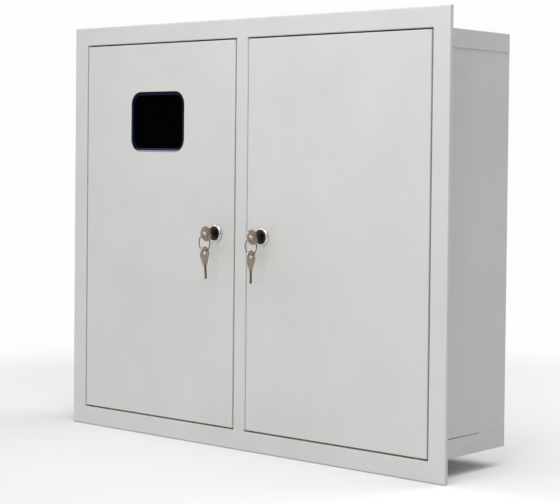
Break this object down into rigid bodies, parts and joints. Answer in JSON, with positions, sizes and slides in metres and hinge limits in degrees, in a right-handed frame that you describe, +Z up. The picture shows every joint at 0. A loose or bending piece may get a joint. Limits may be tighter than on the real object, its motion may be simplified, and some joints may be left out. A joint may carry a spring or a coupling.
{
  "type": "electric meter box",
  "caption": "Flush metal cabinet with two lockable doors, one with a meter window, holding a meter panel, breaker rails and terminal bars.",
  "frame": {"origin": "centre of the four wall fixing holes, on the outer face of the back panel", "axes": "+X to the right seen from the front, +Y into the wall, +Z up; the doors face -Y"},
  "size_m": [0.624, 0.1857, 0.54],
  "materials": {
    "paint": "light grey semi-gloss powder coat",
    "chrome": "polished chrome plate on a zinc casting",
    "lock_core": "dark oxidised lock core",
    "nickel": "nickel plated brass key, slightly worn",
    "zinc": "zinc plated steel",
    "brass": "bare brass bar",
    "plastic": "natural nylon",
    "gasket": "dark blue moulded gasket",
    "pane": "dark smoked acrylic"
  },
  "bodies": {
    "box": {"body_wrap": "paint", "top_tray": "paint", "bottom_tray": "paint", "front_frame": "paint", "hinge_bushes": "plastic", "divider": "paint", "cover_angle": "paint", "cover_plate": "paint", "cover_screws": "zinc", "rail_screws": "zinc", "left_rail_angle": "paint", "right_rail_angle": "paint", "meter_panel": "zinc", "left_panel_bracket": "paint", "right_panel_bracket": "paint", "panel_screws": "zinc", "neutral_bar": "brass", "neutral_bar_holders": "plastic", "neutral_bar_screws": "zinc", "earth_bar": "brass", "earth_bar_holders": "plastic", "earth_bar_screws": "zinc", "box_earth_stud": "zinc", "box_earth_nut": "brass", "din_rail_1": "zinc", "din_rail_2": "zinc", "din_rail_3": "zinc", "din_rail_4": "zinc"},
    "left_door": {"left_door": "paint", "left_hinge_pins": "zinc", "left_lock_housing": "chrome", "left_lock_nut": "zinc", "left_door_earth_stud": "zinc", "left_door_earth_nut": "brass", "window_gasket": "gasket", "window_pane": "pane", "window_retainer": "zinc", "window_studs": "zinc", "window_nuts": "zinc"},
    "left_lock": {"left_lock_plug": "lock_core", "left_lock_cam": "zinc", "left_cam_screw": "zinc", "left_key": "nickel"},
    "left_ring": {"left_key_ring": "nickel"},
    "left_spare": {"left_spare_key": "nickel"},
    "right_door": {"right_door": "paint", "right_hinge_pins": "zinc", "right_lock_housing": "chrome", "right_lock_nut": "zinc", "right_door_earth_stud": "zinc", "right_door_earth_nut": "brass"},
    "right_lock": {"right_lock_plug": "lock_core", "right_lock_cam": "zinc", "right_cam_screw": "zinc", "right_key": "nickel"},
    "right_ring": {"right_key_ring": "nickel"},
    "right_spare": {"right_spare_key": "nickel"}
  },
  "joints": [
    {"name": "left_door_swing", "type": "hinge", "parent": "box", "child": "left_door", "pos_m": [-0.28, -0.1502, 0], "axis": [0, 0, -1], "range_deg": [0, 115]},
    {"name": "left_lock_turn", "type": "hinge", "parent": "left_door", "child": "left_lock", "pos_m": [-0.0449, -0.155, 0.0001], "axis": [0, 1, 0], "range_deg": [0, 90]},
    {"name": "left_ring_swing", "type": "hinge", "parent": "left_lock", "child": "left_ring", "pos_m": [-0.0449, -0.17595, -0.0009], "axis": [0, 1, 0], "range_deg": [-31, 0]},
    {"name": "left_spare_hang", "type": "hinge", "parent": "left_ring", "child": "left_spare", "pos_m": [-0.0449, -0.17595, -0.0113], "axis": [0, 1, 0], "range_deg": [-62, 0]},
    {"name": "right_door_swing", "type": "hinge", "parent": "box", "child": "right_door", "pos_m": [0.28, -0.1502, 0], "axis": [0, 0, 1], "range_deg": [0, 115]},
    {"name": "right_lock_turn", "type": "hinge", "parent": "right_door", "child": "right_lock", "pos_m": [0.0335, -0.155, -0.0012], "axis": [0, -1, 0], "range_deg": [0, 90]},
    {"name": "right_ring_swing", "type": "hinge", "parent": "right_lock", "child": "right_ring", "pos_m": [0.0335, -0.17595, -0.0022], "axis": [0, -1, 0], "range_deg": [-31, 0]},
    {"name": "right_spare_hang", "type": "hinge", "parent": "right_ring", "child": "right_spare", "pos_m": [0.0335, -0.17595, -0.0126], "axis": [0, -1, 0], "range_deg": [-62, 0]}
  ],
  "couplings": [
    {"joint": "left_ring_swing", "follows": "left_lock_turn", "ratio": -0.33},
    {"joint": "left_spare_hang", "follows": "left_lock_turn", "ratio": -0.67},
    {"joint": "right_ring_swing", "follows": "right_lock_turn", "ratio": -0.33},
    {"joint": "right_spare_hang", "follows": "right_lock_turn", "ratio": -0.67}
  ]
}
